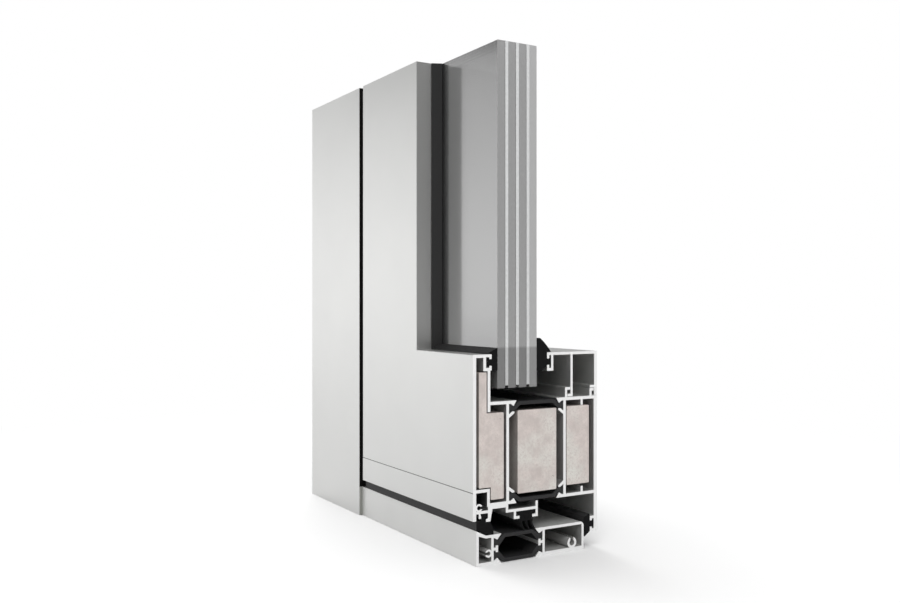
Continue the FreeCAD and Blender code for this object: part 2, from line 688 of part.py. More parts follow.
def arc_port(piece, name, depth, reach, bore, wall, slot, turn):
    """Screw port: a ring with one open side. turn is the direction of the open side, in quarters."""
    sketch = piece.sketch(name)
    across, up = depth, reach
    quarter = turn * math.pi / 2
    radii = (bore + wall, bore)
    ends = []
    for index, radius in enumerate(radii):
        gap = math.asin(slot.number / 2 / radius.number)
        circle = Part.Circle(FreeCAD.Vector(across.number, up.number, 0), FreeCAD.Vector(0, 0, 1),
                             radius.number)
        arc = Part.ArcOfCircle(circle, quarter + gap, quarter + 2 * math.pi - gap)
        sketch.addGeometry(arc, False)
        ends.append((arc.StartPoint, arc.EndPoint))
        tie(sketch, "DistanceX", index, 3, across)
        tie(sketch, "DistanceY", index, 3, up)
        limit = sketch.addConstraint(Sketcher.Constraint("Radius", index, radius.number))
        sketch.setExpression("Constraints[%d]" % limit, radius.formula)
    sketch.addGeometry(Part.LineSegment(ends[0][0], ends[1][0]), False)
    sketch.addGeometry(Part.LineSegment(ends[0][1], ends[1][1]), False)
    sketch.addConstraint([
        Sketcher.Constraint("Coincident", 0, 1, 2, 1), Sketcher.Constraint("Coincident", 1, 1, 2, 2),
        Sketcher.Constraint("Coincident", 0, 2, 3, 1), Sketcher.Constraint("Coincident", 1, 2, 3, 2)])
    sideways = turn % 2 == 0
    kind = "DistanceY" if sideways else "DistanceX"
    centre = up if sideways else across
    sign = 1 if math.cos(quarter) - math.sin(quarter) > 0 else -1
    for line, side in ((2, sign), (3, -sign)):
        for point in (1, 2):
            tie(sketch, kind, line, point, centre + slot / 2 * side)
    piece.pad(sketch)


def threshold_front_profile():
    """Front half of the threshold, with its sloped top and a small screw port."""
    piece = Piece("threshold_front_profile", THRESHOLD)
    start = s.threshold_setback
    inner = start + s.threshold_front
    wall = s.lip_wall
    slope_end = start + s.threshold_slope
    outer = [(start, s.threshold_height), (start, 0), (inner, 0), (inner, tread), (slope_end, tread)]
    chamber = [(start + wall, s.threshold_height - s.threshold_edge), (start + wall, wall),
               (inner - wall, wall), (inner - wall, tread - wall), (slope_end, tread - wall)]
    piece.add("shell", outer, chamber)
    threshold_claws(piece, inner, 1)
    port = s.small_port_bore + s.small_port_wall
    arc_port(piece, "screw_port", inner - wall - port + s.root, s.small_port_height,
             s.small_port_bore, s.small_port_wall, s.small_port_slot, 2)


def threshold_claws(piece, wall, outward):
    """Two barbs and the headed claw between them, which hold the threshold's strips."""
    depth_end = wall + s.barb_reach * outward
    tip = wall + s.threshold_barb * outward
    root = wall - s.root * outward
    for name, edge, inward in (("upper_barb", tread, -1), ("lower_barb", as_size(0), 1)):
        piece.add(name, [(root, edge), (depth_end, edge), (tip, edge + s.barb_tip * inward),
                         (root, edge + s.lip_wall * inward)])
    middle = tread / 2
    head = wall + s.threshold_claw * outward
    neck = head - s.lip_wall * outward
    half_neck = s.lip_wall / 2
    half_head = s.threshold_claw_head / 2
    piece.add("middle_claw", [
        (root, middle - half_neck), (neck, middle - half_neck), (neck, middle - half_head),
        (head, middle - half_head), (head, middle + half_head), (neck, middle + half_head),
        (neck, middle + half_neck), (root, middle + half_neck)])


def threshold_back_profile():
    """Back half of the threshold, with a rounded edge and a screw port."""
    piece = Piece("threshold_back_profile", THRESHOLD)
    start = s.threshold_setback + s.threshold_front + s.threshold_break
    wall = s.lip_wall
    corners = [(start, tread), (start, 0), (stop_depth, 0), (stop_depth, tread)]
    piece.add("shell", *hollow(corners, [wall, s.face_wall, wall, wall]))
    threshold_claws(piece, start, -1)
    port_height = s.face_wall + s.port_bore + s.port_wall - s.root
    arc_port(piece, "screw_port", stop_depth - s.port_inset, port_height,
             s.port_bore, s.port_wall, s.port_slot, 1)
    doc.recompute()
    base = piece.body.Tip
    near = 0.01
    edges = []
    for index, edge in enumerate(base.Shape.Edges, start=1):
        middle = edge.BoundBox.Center
        if abs(middle.y - stop_depth.number) < near and abs(middle.z - tread.number) < near:
            edges.append("Edge%d" % index)
    rounded = piece.body.newObject("PartDesign::Fillet", "threshold_back_edge")
    rounded.Base = (base, edges)
    rounded.setExpression("Radius", s.threshold_round.formula)


def threshold_strips():
    """Upper and lower insulating strips of the threshold."""
    front = s.threshold_setback + s.threshold_front
    back = front + s.threshold_break
    middle = tread / 2
    play = s.strip_play
    head_side = middle - s.threshold_claw_head / 2 - play
    neck_side = middle - s.lip_wall / 2 - play
    over = [(play, s.lip_wall + play * 2), (s.threshold_barb, s.barb_tip + play * 2),
            (s.strip_shoulder, s.threshold_inset)]
    under = [(s.strip_shoulder + s.strip_bend, s.threshold_inset + s.strip_wall),
             (s.threshold_claw + play, neck_side), (s.threshold_claw + play, head_side),
             (s.threshold_claw - s.lip_wall - play, head_side), (play, head_side)]
    for name, edge, inward in (("upper", tread, -1), ("lower", as_size(0), 1)):
        piece = Piece("threshold_%s_strip" % name, THRESHOLD)
        front_over = [(front + past, edge + down * inward) for past, down in over]
        back_over = [(back - past, edge + down * inward) for past, down in over]
        front_under = [(front + past, edge + down * inward) for past, down in under]
        back_under = [(back - past, edge + down * inward) for past, down in under]
        piece.add("strip", front_over + back_over[::-1] + back_under[::-1] + front_under)


def seal_carrier():
    """Profile screwed under the leaf, which holds the sweep gasket and the fin gasket."""
    piece = Piece("seal_carrier", CARRIER)
    top = s.carrier_face
    under_leaf = top - s.step_drop
    wall = s.lip_wall
    bar_top = under_leaf - s.carrier_bar
    bar_low = bar_top - wall
    web = s.carrier_web
    piece.add("body", [
        (0, top), (0, 0), (s.face_wall, 0), (s.face_wall, web), (s.sweep_back - wall, web),
        (s.sweep_back - wall, -s.sweep_back_drop), (s.sweep_back, -s.sweep_back_drop),
        (s.sweep_back + s.sweep_back_slope, under_leaf - wall),
        (s.carrier_step, under_leaf - wall), (s.carrier_step, bar_low),
        (s.carrier_end, bar_low), (s.carrier_end, bar_top), (s.carrier_step + wall, bar_top),
        (s.carrier_step + wall, under_leaf), (s.sweep_back - wall, under_leaf),
        (s.sweep_back - wall, web + wall), (s.face_wall, web + wall), (s.face_wall, top)])
    foot_low = under_leaf - s.carrier_foot
    end = s.carrier_end
    left = s.carrier_slot_left
    lip = s.carrier_slot_lip
    piece.add("end_bar", [
        (end - wall, foot_low + wall), (end - lip, foot_low + wall), (end - lip, foot_low),
        (end, foot_low), (end, under_leaf), (end - wall, under_leaf)])
    piece.add("slot_lip", [
        (left, bar_low + s.root), (left, foot_low), (left + lip, foot_low),
        (left + lip, foot_low + wall), (left + wall, foot_low + wall),
        (left + wall, bar_low + s.root)])
    groove = s.sweep_groove
    nose = s.sweep_lip_nose
    lip_low = s.sweep_front_lip
    piece.add("sweep_front_lip", [
        (groove, web + s.root), (groove, lip_low), (groove + wall, lip_low),
        (groove + wall, lip_low + nose), (groove + nose, web + s.root)])
    piece.add("sweep_back_lip", [
        (s.sweep_lip, -s.sweep_back_drop), (s.sweep_back, -s.sweep_back_drop),
        (s.sweep_back, wall), (s.sweep_lip, s.sweep_lip_end)])
    port = s.small_port_bore + s.small_port_wall
    arc_port(piece, "screw_port", s.face_wall + port - s.root, web + wall + port - s.root,
             s.small_port_bore, s.small_port_wall, s.small_port_slot, 0)


def sweep_gasket():
    """Gasket in the carrier that closes the joint over the threshold's front edge."""
    piece = Piece("sweep_gasket", CARRIER)
    play = s.gasket_play
    wall = s.lip_wall
    anchor_top = s.carrier_web - play
    anchor_left = s.sweep_groove + wall + play
    anchor_right = s.sweep_back - wall - play
    neck_right = s.sweep_lip - play
    under_lip = -s.sweep_back_drop - play
    back = s.sweep_back + s.face_wall
    on_edge = s.closing_gap - s.threshold_gap
    on_tread = on_edge - s.threshold_lip
    piece.add("gasket", [
        (anchor_left, anchor_top), (anchor_left, -play), (s.threshold_setback, -play),
        (s.threshold_setback, on_edge), (s.threshold_setback + wall, on_edge),
        (s.threshold_setback + s.threshold_slope, on_tread), (back, on_tread),
        (back, on_edge), (s.sweep_back, under_lip), (neck_right, under_lip),
        (neck_right, wall + play), (anchor_right, wall + play), (anchor_right, anchor_top)])


def fin_gasket():
    """Centre gasket: a foot in the carrier's slot and curved fins that sweep the threshold."""
    piece = Piece("fin_gasket", CARRIER)
    play = s.gasket_play
    wall = s.lip_wall
    foot_low = s.carrier_face - s.step_drop - s.carrier_foot
    bar_low = s.carrier_face - s.step_drop - s.carrier_bar - wall
    left = s.carrier_slot_left
    right = s.carrier_end
    lip = s.carrier_slot_lip
    base = foot_low - play - wall
    piece.add("foot", [
        (left + wall + play, foot_low + wall + play), (left + lip + play, foot_low + wall + play),
        (left + lip + play, base), (right - lip - play, base),
        (right - lip - play, foot_low + wall + play), (right - wall - play, foot_low + wall + play),
        (right - wall - play, bar_low - play), (left + wall + play, bar_low - play)])
    on_tread = tread - leaf_bottom + s.closing_gap
    first = (left + right - s.fin_pitch * (s.fin_count - 1)) / 2
    for number in range(int(s.fin_count.number)):
        place = first + s.fin_pitch * number
        add_fin(piece, "fin_%d" % (number + 1), place, base + s.root, on_tread)


def add_fin(piece, name, place, top, bottom):
    """One curved fin: two arcs about the same centre, closed by its ends."""
    sketch = piece.sketch(name)
    radius = s.fin_radius
    centre = FreeCAD.Vector((place + radius).number, top.number, 0)
    fall = top - bottom
    lines = []
    for index, size in enumerate((radius, radius - s.fin_wall)):
        angle = math.asin(fall.number / size.number)
        circle = Part.Circle(centre, FreeCAD.Vector(0, 0, 1), size.number)
        arc = Part.ArcOfCircle(circle, math.pi, math.pi + angle)
        sketch.addGeometry(arc, False)
        lines.append((arc.StartPoint, arc.EndPoint))
        tie(sketch, "DistanceX", index, 3, place + radius)
        tie(sketch, "DistanceY", index, 3, top)
        limit = sketch.addConstraint(Sketcher.Constraint("Radius", index, size.number))
        sketch.setExpression("Constraints[%d]" % limit, size.formula)
    sketch.addGeometry(Part.LineSegment(lines[0][0], lines[1][0]), False)
    sketch.addGeometry(Part.LineSegment(lines[0][1], lines[1][1]), False)
    sketch.addConstraint([
        Sketcher.Constraint("Coincident", 0, 1, 2, 1), Sketcher.Constraint("Coincident", 1, 1, 2, 2),
        Sketcher.Constraint("Coincident", 0, 2, 3, 1), Sketcher.Constraint("Coincident", 1, 2, 3, 2)])
    for line, reach in ((2, top), (3, bottom)):
        for point in (1, 2):
            tie(sketch, "DistanceY", line, point, reach)
    piece.pad(sketch)


def box(label, start, size):
    """A plain cut sheet, given by its near lower corner and its three sizes."""
    sheet = doc.addObject("Part::Box", label)
    sheet.Label = label
    for name, length in zip(("Length", "Width", "Height"), size):
        sheet.setExpression(name, length.formula)
    for axis, place in zip("xyz", start):
        sheet.setExpression(".Placement.Base." + axis, place.formula)


def glass():
    """Four sheets of glass with a fire resisting layer between each two."""
    depth = front_plane + s.glass_front
    count = int(s.pane_count.number)
    for number in range(1, count + 1):
        start = (stile_base + glass_edge, depth, rail_base + glass_edge)
        box("glass_pane_%d" % number, start,
            (sample_length / 2 - start[0], s.pane, s.sample_height - start[2]))
        depth = depth + s.pane
        if number == count:
            break
        start = (start[0] + s.interlayer_recess, depth, start[2] + s.interlayer_recess)
        box("glass_interlayer_%d" % number, start,
            (sample_length / 2 - start[0], s.interlayer, s.sample_height - start[2]))
        depth = depth + s.interlayer


def build():
    jamb_front_profile()
    jamb_back_profile()
    jamb_edge = s.jamb_face - s.jamb_lip_reach
    thermal_strip("jamb_leaf_side_strip", JAMB, s.front_shell, back_wall_start, jamb_edge, -1)
    thermal_strip("jamb_wall_side_strip", JAMB, s.front_shell, back_wall_start, as_size(0), 1)
    jamb_boards()
    for run in (STILE, RAIL):
        leaf_front_profile(run)
        leaf_back_profile(run)
        thermal_strip(run.name + "_glass_side_strip", run, s.front_shell, back_wall_start,
                      rebate_floor, -1)
        thermal_strip(run.name + "_outer_strip", run, s.front_shell, back_wall_start,
                      -s.step_drop, 1)
        leaf_boards(run)
        glazing_bead(run)
        glazing_gasket(run)
        bead_gasket(run)
        stop_gasket(run)
    seal_carrier()
    sweep_gasket()
    fin_gasket()
    threshold_front_profile()
    threshold_back_profile()
    threshold_strips()
    glass()


def check_document():
    """Every feature has to be sound, and every piece one closed solid."""
    pieces = []
    faults = []
    for item in doc.Objects:
        if "Invalid" in item.State or "Error" in item.State:
            faults.append("%s is %s" % (item.Label, item.State))
        if item.TypeId in ("PartDesign::Body", "Part::Box"):
            shape = item.Shape
            if shape.isNull() or not shape.isValid() or len(shape.Solids) != 1:
                faults.append("%s has %d solids" % (item.Label, len(shape.Solids)))
            pieces.append(item)
    if faults:
        raise RuntimeError("; ".join(faults))
    return pieces


build()
doc.recompute()
os.makedirs("parts", exist_ok=True)
for piece in check_document():
    piece.Shape.exportStep("parts/%s.step" % piece.Label)
    print(piece.Label, round(piece.Shape.Volume))
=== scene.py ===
# %% [markdown]
# Corner sample of an aluminium fire door
#
# The sample shows how such a door is put together: the foot of the jamb, the bottom corner of the
# leaf with its fire resisting glass, the seals under the leaf and the threshold. It is cut square,
# so the sections of the profiles show. The construction comes ready made as a fixed frame of
# nodes. This lesson gives every piece its finish, its eased edges and its light.

# %% Load the frame
import json
import math

import bmesh
import bpy
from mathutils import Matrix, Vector
from mathutils.bvhtree import BVHTree

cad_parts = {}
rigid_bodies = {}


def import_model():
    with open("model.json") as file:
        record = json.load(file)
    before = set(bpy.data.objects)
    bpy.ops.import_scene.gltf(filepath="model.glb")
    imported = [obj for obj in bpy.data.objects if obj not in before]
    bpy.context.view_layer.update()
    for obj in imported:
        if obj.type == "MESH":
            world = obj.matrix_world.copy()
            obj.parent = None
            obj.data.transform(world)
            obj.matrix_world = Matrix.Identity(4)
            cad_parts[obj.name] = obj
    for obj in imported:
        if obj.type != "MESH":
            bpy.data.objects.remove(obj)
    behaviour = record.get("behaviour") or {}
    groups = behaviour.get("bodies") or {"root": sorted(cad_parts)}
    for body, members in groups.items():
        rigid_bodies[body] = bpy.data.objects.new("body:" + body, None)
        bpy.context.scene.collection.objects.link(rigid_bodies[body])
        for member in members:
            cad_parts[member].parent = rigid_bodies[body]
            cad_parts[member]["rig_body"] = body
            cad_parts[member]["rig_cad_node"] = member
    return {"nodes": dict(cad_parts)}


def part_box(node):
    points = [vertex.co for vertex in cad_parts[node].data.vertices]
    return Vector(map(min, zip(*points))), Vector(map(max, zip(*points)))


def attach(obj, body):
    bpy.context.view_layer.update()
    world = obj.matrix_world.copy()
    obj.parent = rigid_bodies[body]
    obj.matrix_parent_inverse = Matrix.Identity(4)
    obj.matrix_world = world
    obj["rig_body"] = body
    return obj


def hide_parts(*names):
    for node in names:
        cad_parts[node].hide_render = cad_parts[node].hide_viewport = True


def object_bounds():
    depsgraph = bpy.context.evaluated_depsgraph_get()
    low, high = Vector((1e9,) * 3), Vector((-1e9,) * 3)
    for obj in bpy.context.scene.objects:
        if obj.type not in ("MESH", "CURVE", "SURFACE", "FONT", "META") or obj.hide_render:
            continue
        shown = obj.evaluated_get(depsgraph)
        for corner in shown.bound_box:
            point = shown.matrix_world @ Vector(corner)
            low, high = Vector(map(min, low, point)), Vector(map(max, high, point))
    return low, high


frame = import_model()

scene = bpy.context.scene
nodes = frame["nodes"]
cad_box = [list(corner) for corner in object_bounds()]
low_corner = Vector(cad_box[0])
high_corner = Vector(cad_box[1])
middle = (low_corner + high_corner) / 2
sides = high_corner - low_corner
print("nodes:", len(nodes), "size in mm:", [round(side * 1000, 1) for side in sides])

# %% [markdown]
# The camera
#
# The straight edges of the sample fix the camera. It stands level, right of the cut end and about
# half a metre away, so the uprights stay upright. A tilted camera could take in the same view, but
# its uprights would lean. The focal length is kept in pixels of a picture that is 900 wide,
# because that is how it was measured, and is turned into a lens here.

# %% Camera
PICTURE_WIDTH = 900
PICTURE_HEIGHT = 603
FOCAL_PIXELS = 934.3
HORIZON_ROW = 303.07
SENSOR_WIDTH = 36.0
CAMERA_PLACE = (0.4942, -0.2820, 0.1301)
CAMERA_TURN = math.radians(59.496)
NEAREST_SEEN = 0.01

bpy.ops.object.select_all(action="DESELECT")
bpy.ops.object.camera_add(location=CAMERA_PLACE, rotation=(math.radians(90), 0, CAMERA_TURN))
camera = bpy.context.object
camera.name = "camera"
camera.data.sensor_width = SENSOR_WIDTH
camera.data.lens = FOCAL_PIXELS * SENSOR_WIDTH / PICTURE_WIDTH
camera.data.shift_y = (HORIZON_ROW - PICTURE_HEIGHT / 2) / PICTURE_WIDTH
camera.data.clip_start = NEAREST_SEEN
scene.camera = camera
print("lens: %.2f mm" % camera.data.lens)

# %% [markdown]
# The studio
#
# Satin metal shows what stands around it. A plain white world would make every face the same flat
# grey, so for reflections the world is a studio: a bright wall that fades a little on the way up,
# a dark band above it and a dim roof. The matt metal blurs the wall's top edge into the long soft
# fade on its faces. Each pair below is a height, 0 at the horizon and 1 straight up, and the share
# of the wall's light there. Real cards could do the same, but a ramp is easier to tune.

# %% Studio wall for reflections
HORIZON_LIGHT = 1.12
WALL_SHARES = ((0.0, 1.02), (0.06, 0.99), (0.11, 0.90), (0.162, 0.78), (0.22, 0.66),
               (0.254, 0.58), (0.270, 0.03), (0.36, 0.03), (0.60, 0.20), (1.0, 0.25))


def join(tree, source, target):
    """Links an output socket to an input socket."""
    tree.links.new(source, target)


world = bpy.data.worlds.new("studio")
scene.world = world
world.use_nodes = True
tree = world.node_tree
tree.nodes.clear()
direction = tree.nodes.new("ShaderNodeTexCoord")
upward = tree.nodes.new("ShaderNodeSeparateXYZ")
join(tree, direction.outputs["Generated"], upward.inputs[0])
fade = tree.nodes.new("ShaderNodeValToRGB")
stops = fade.color_ramp.elements
for height, share in WALL_SHARES[1:-1]:
    stops.new(height)
for stop, (height, share) in zip(stops, WALL_SHARES):
    stop.color = (share, share, share, 1)
join(tree, upward.outputs["Z"], fade.inputs[0])
wall = tree.nodes.new("ShaderNodeMath")
wall.operation = "MULTIPLY"
wall.inputs[1].default_value = HORIZON_LIGHT
join(tree, fade.outputs["Color"], wall.inputs[0])
print("stops on the wall:", len(stops))

# %% [markdown]
# The background is pure white, so the camera sees plain white in place of the wall, and so does
# what the glass lets through. For diffuse light the world is dimmer, because the lamps do that
# work.

# %% World
DIFFUSE_LIGHT = 0.62
WHITE = 1.0


def mixed_value(tree, factor, low, high):
    """A value that goes from low to high as factor goes from 0 to 1."""
    mix = tree.nodes.new("ShaderNodeMix")
    join(tree, factor, mix.inputs["Factor"])
    for socket, value in ((mix.inputs["A"], low), (mix.inputs["B"], high)):
        if isinstance(value, (int, float)):
            socket.default_value = value
        else:
            join(tree, value, socket)
    return mix.outputs["Result"]


path = tree.nodes.new("ShaderNodeLightPath")
strength = mixed_value(tree, path.outputs["Is Glossy Ray"], DIFFUSE_LIGHT, wall.outputs[0])
strength = mixed_value(tree, path.outputs["Is Transmission Ray"], strength, WHITE)
strength = mixed_value(tree, path.outputs["Is Camera Ray"], strength, WHITE)
background = tree.nodes.new("ShaderNodeBackground")
background.inputs["Color"].default_value = (1, 1, 1, 1)
join(tree, strength, background.inputs["Strength"])
output = tree.nodes.new("ShaderNodeOutputWorld")
join(tree, background.outputs[0], output.inputs["Surface"])
print("world nodes:", len(tree.nodes))

# %% [markdown]
# The floor
#
# The sample stands on white paper that has no visible end. The floor is one large plane, a hair
# under the sample so that the two don't flicker.

# %% Floor
FLOOR_SIZE = 12.0
FLOOR_DROP = 0.00005

bpy.ops.object.select_all(action="DESELECT")
bpy.ops.mesh.primitive_plane_add(size=FLOOR_SIZE, location=(0, 0, low_corner.z - FLOOR_DROP))
floor = bpy.context.object
floor.name = "floor"
print("floor:", FLOOR_SIZE, "m")

# %% [markdown]
# Lit paper would look grey and end in a visible horizon, and glowing paper would show no shadow,
# so the two are blended. Far away the camera sees the floor as even white. Near the sample a share
# of it is lit by the lamps, so that a faint soft shadow stays. Metal mirrors the paper darker than
# the camera sees it.

# %% Floor paper
SHADOW_SHARE = 0.96
SHADOW_NEAR = 0.16
SHADOW_FAR = 0.60
MIRROR_NEAR = 0.35
MIRROR_FAR = 1.9
PAPER_SEEN = 0.84
PAPER_MIRRORED = 0.56

paper = bpy.data.materials.new("floor_paper")
paper.use_nodes = True
tree = paper.node_tree
tree.nodes.clear()
output = tree.nodes.new("ShaderNodeOutputMaterial")
path = tree.nodes.new("ShaderNodeLightPath")
lit = tree.nodes.new("ShaderNodeBsdfDiffuse")
tone = mixed_value(tree, path.outputs["Is Camera Ray"], PAPER_MIRRORED, PAPER_SEEN)
join(tree, tone, lit.inputs["Color"])
glow = tree.nodes.new("ShaderNodeEmission")
blend = tree.nodes.new("ShaderNodeMixShader")
place = tree.nodes.new("ShaderNodeTexCoord")
reach = tree.nodes.new("ShaderNodeVectorMath")
reach.operation = "LENGTH"
join(tree, place.outputs["Object"], reach.inputs[0])


def white_share(near, far, low):
    """Goes softly from low to 1 between two distances from the sample."""
    ramp = tree.nodes.new("ShaderNodeMapRange")
    ramp.interpolation_type = "SMOOTHSTEP"
    ramp.inputs["From Min"].default_value = near
    ramp.inputs["From Max"].default_value = far
    ramp.inputs["To Min"].default_value = low
    ramp.inputs["To Max"].default_value = 1.0
    join(tree, reach.outputs["Value"], ramp.inputs["Value"])
    return ramp.outputs["Result"]


mirrored = white_share(MIRROR_NEAR, MIRROR_FAR, 0.0)
seen = white_share(SHADOW_NEAR, SHADOW_FAR, 1 - SHADOW_SHARE)
share = mixed_value(tree, path.outputs["Is Glossy Ray"], 0.0, mirrored)
share = mixed_value(tree, path.outputs["Is Camera Ray"], share, seen)
share = mixed_value(tree, path.outputs["Is Transmission Ray"], share, 1.0)
join(tree, share, blend.inputs[0])
join(tree, lit.outputs[0], blend.inputs[1])
join(tree, glow.outputs[0], blend.inputs[2])
join(tree, blend.outputs[0], output.inputs["Surface"])
floor.data.materials.append(paper)
print("paper nodes:", len(tree.nodes))

# %% [markdown]
# Lamps
#
# A large soft lamp hangs high behind the camera and lights the cut end. A second one hangs over
# the left side and throws a soft shadow to the right of the foot. Both are big, because small
# lamps would make hard shadows in the open chambers. The metal doesn't mirror them, since it has
# the studio wall for that. Each line gives a place, a width and a power in watts.

# %% Lamps
LAMPS = (
    ("right_lamp", (0.95, -0.45, 1.45), 0.9, 14),
    ("top_lamp", (-0.7, -0.05, 1.3), 1.0, 12),
)

for name, place, width, power in LAMPS:
    light = bpy.data.lights.new(name, "AREA")
    light.shape = "SQUARE"
    light.size = width
    light.energy = power
    lamp = bpy.data.objects.new(name, light)
    scene.collection.objects.link(lamp)
    lamp.visible_glossy = False
    lamp.location = place
    lamp.rotation_euler = (middle - Vector(place)).to_track_quat("-Z", "Y").to_euler()
    print(lamp.name, power, "W")

# %% [markdown]
# Cards
#
# In a photo studio, grey and black cards are put up just for the reflections in a shiny object.
# Here a grey one behind the sample on the right makes the faces that look to the right so much
# darker than the front, and is seen through glass too. A dark one behind the camera does the same
# for what these faces show after one more reflection. The wall could be darkened on one side for
# this, but a card has a clear edge and a place. Each line gives a place, a turn in degrees, how
# brightly the card glows, and the rays that pass it by.

# %% Cards
CARD_SIZE = (3.0, 1.6, 1.0)
CARDS = (
    ("grey_card", (1.1, 1.25, 0.75), -45, 0.11,
     ("camera", "diffuse", "shadow", "volume_scatter")),
    ("dark_card", (1.6, -0.95, 0.75), 60, 0.03,
     ("camera", "diffuse", "transmission", "shadow", "volume_scatter")),
)

for name, place, turn, brightness, unseen_by in CARDS:
    bpy.ops.object.select_all(action="DESELECT")
    bpy.ops.mesh.primitive_plane_add(size=1.0)
    card = bpy.context.object
    card.name = name
    card.scale = CARD_SIZE
    card.location = place
    card.rotation_euler = (math.radians(90), 0, math.radians(turn))
    bpy.ops.object.transform_apply(location=False, rotation=False, scale=True)
    for kind in unseen_by:
        setattr(card, "visible_" + kind, False)
    paint = bpy.data.materials.new(name)
    paint.use_nodes = True
    tree = paint.node_tree
    tree.nodes.clear()
    output = tree.nodes.new("ShaderNodeOutputMaterial")
    glow = tree.nodes.new("ShaderNodeEmission")
    glow.inputs["Strength"].default_value = brightness
    join(tree, glow.outputs[0], output.inputs["Surface"])
    card.data.materials.append(paint)
    print(card.name, "glows with", brightness)

# %% [markdown]
# Finishes
#
# All finishes read Object coordinates, which are metres on the sample, so a scale of 1000 is one
# cell for each millimetre. Image textures could carry the same marks, but noise stays sharp at any
# distance and needs no file. First come a material with its even values on its own sockets, noise
# to vary it, and the place along one axis for what changes at a certain height or depth.

# %% Materials, noise and places


def new_finish(name, **sockets):
    """A material with one shader whose even values are set on its own sockets."""
    finish = bpy.data.materials.new(name)
    finish.use_nodes = True
    shader = finish.node_tree.nodes["Principled BSDF"]
    for socket, value in sockets.items():
        shader.inputs[socket.replace("_", " ")].default_value = value
    return finish, finish.node_tree, shader


def noise(tree, scale, detail=2.0, roughness=0.5, stretch=(1, 1, 1)):
    """Noise on Object coordinates, in cells for each metre. A stretch under 1 draws it out."""
    place = tree.nodes.new("ShaderNodeTexCoord")
    mapping = tree.nodes.new("ShaderNodeMapping")
    mapping.inputs["Scale"].default_value = stretch
    join(tree, place.outputs["Object"], mapping.inputs["Vector"])
    texture = tree.nodes.new("ShaderNodeTexNoise")
    texture.inputs["Scale"].default_value = scale
    texture.inputs["Detail"].default_value = detail
    texture.inputs["Roughness"].default_value = roughness
    join(tree, mapping.outputs[0], texture.inputs["Vector"])
    return texture.outputs["Fac"]


def along_axis(tree, axis):
    """The place along one axis of the sample, in metres."""
    place = tree.nodes.new("ShaderNodeTexCoord")
    axes = tree.nodes.new("ShaderNodeSeparateXYZ")
    join(tree, place.outputs["Object"], axes.inputs[0])
    return axes.outputs[axis]


print("helpers: new_finish, noise, along_axis")

# %% [markdown]
# The next helpers turn noise into something to be seen: a range of values, marks with blank space
# between them, a colour between two, a bump, and a whole finish whose colour only drifts a little.

# %% Ranges, colours and bumps


def spread(tree, value, low, high, start=0.3, end=0.7):
    """Brings noise between start and end to values between low and high."""
    ranged = tree.nodes.new("ShaderNodeMapRange")
    ranged.inputs["From Min"].default_value = start
    ranged.inputs["From Max"].default_value = end
    ranged.inputs["To Min"].default_value = low
    ranged.inputs["To Max"].default_value = high
    join(tree, value, ranged.inputs["Value"])
    return ranged.outputs["Result"]


def marks(tree, scale, detail, roughness=0.5, start=0.3, end=0.7):
    """Noise that is 0 below start, 1 above end, and rises between them."""
    return spread(tree, noise(tree, scale, detail, roughness), 0.0, 1.0, start, end)


def two_colours(tree, factor, first, second):
    """A colour between first and second."""
    mix = tree.nodes.new("ShaderNodeMix")
    mix.data_type = "RGBA"
    join(tree, factor, mix.inputs["Factor"])
    for name, colour in (("A", first), ("B", second)):
        socket = [item for item in mix.inputs if item.name == name and item.type == "RGBA"][0]
        if isinstance(colour, tuple):
            socket.default_value = colour + (1,)
        else:
            join(tree, colour, socket)
    return [item for item in mix.outputs if item.type == "RGBA"][0]


def add_bump(tree, shader, height, depth, strength=1.0):
    """Bump whose full height is depth, in metres."""
    bump = tree.nodes.new("ShaderNodeBump")
    bump.inputs["Strength"].default_value = strength
    bump.inputs["Distance"].default_value = depth
    join(tree, height, bump.inputs["Height"])
    join(tree, bump.outputs[0], shader.inputs["Normal"])


def drifting_finish(name, first, second, scale, detail, **sockets):
    """A finish whose colour drifts between two, in cells for each metre."""
    finish, tree, shader = new_finish(name, **sockets)
    colour = two_colours(tree, noise(tree, scale, detail), first, second)
    join(tree, colour, shader.inputs["Base Color"])
    return finish


print("helpers: spread, marks, two_colours, add_bump, drifting_finish")

# %% [markdown]
# Satin aluminium
#
# The outer faces are anodised in a natural silver: metal, but etched matt, so it mirrors only
# broad areas of light. Two things give it away at close range. The die leaves very fine lines
# along the profile, and the etching leaves a grain of about a tenth of a millimetre. The lines
# could be engraved, but at this size a bump does as well. They follow the run of the profile, so
# uprights and level profiles need a finish each. The threshold has a third one, rubbed dull by
# feet.

# %% Satin aluminium
SILVER = (0.862, 0.864, 0.850)
SILVER_DARK = (0.832, 0.834, 0.822)
TRODDEN = (0.880, 0.882, 0.868)
TRODDEN_DARK = (0.840, 0.842, 0.828)
SATIN_METAL = 0.84
TRODDEN_METAL = 0.60
DIE_LINES = 2600
DIE_LINE_STRETCH = 0.004
ETCH_GRAIN = 9000
SOFT_CLOUDS = 18
SATIN_DEPTH = 0.000004
LINE_ROUGHNESS = (0.33, 0.37)
GRAIN_ROUGHNESS = 0.40


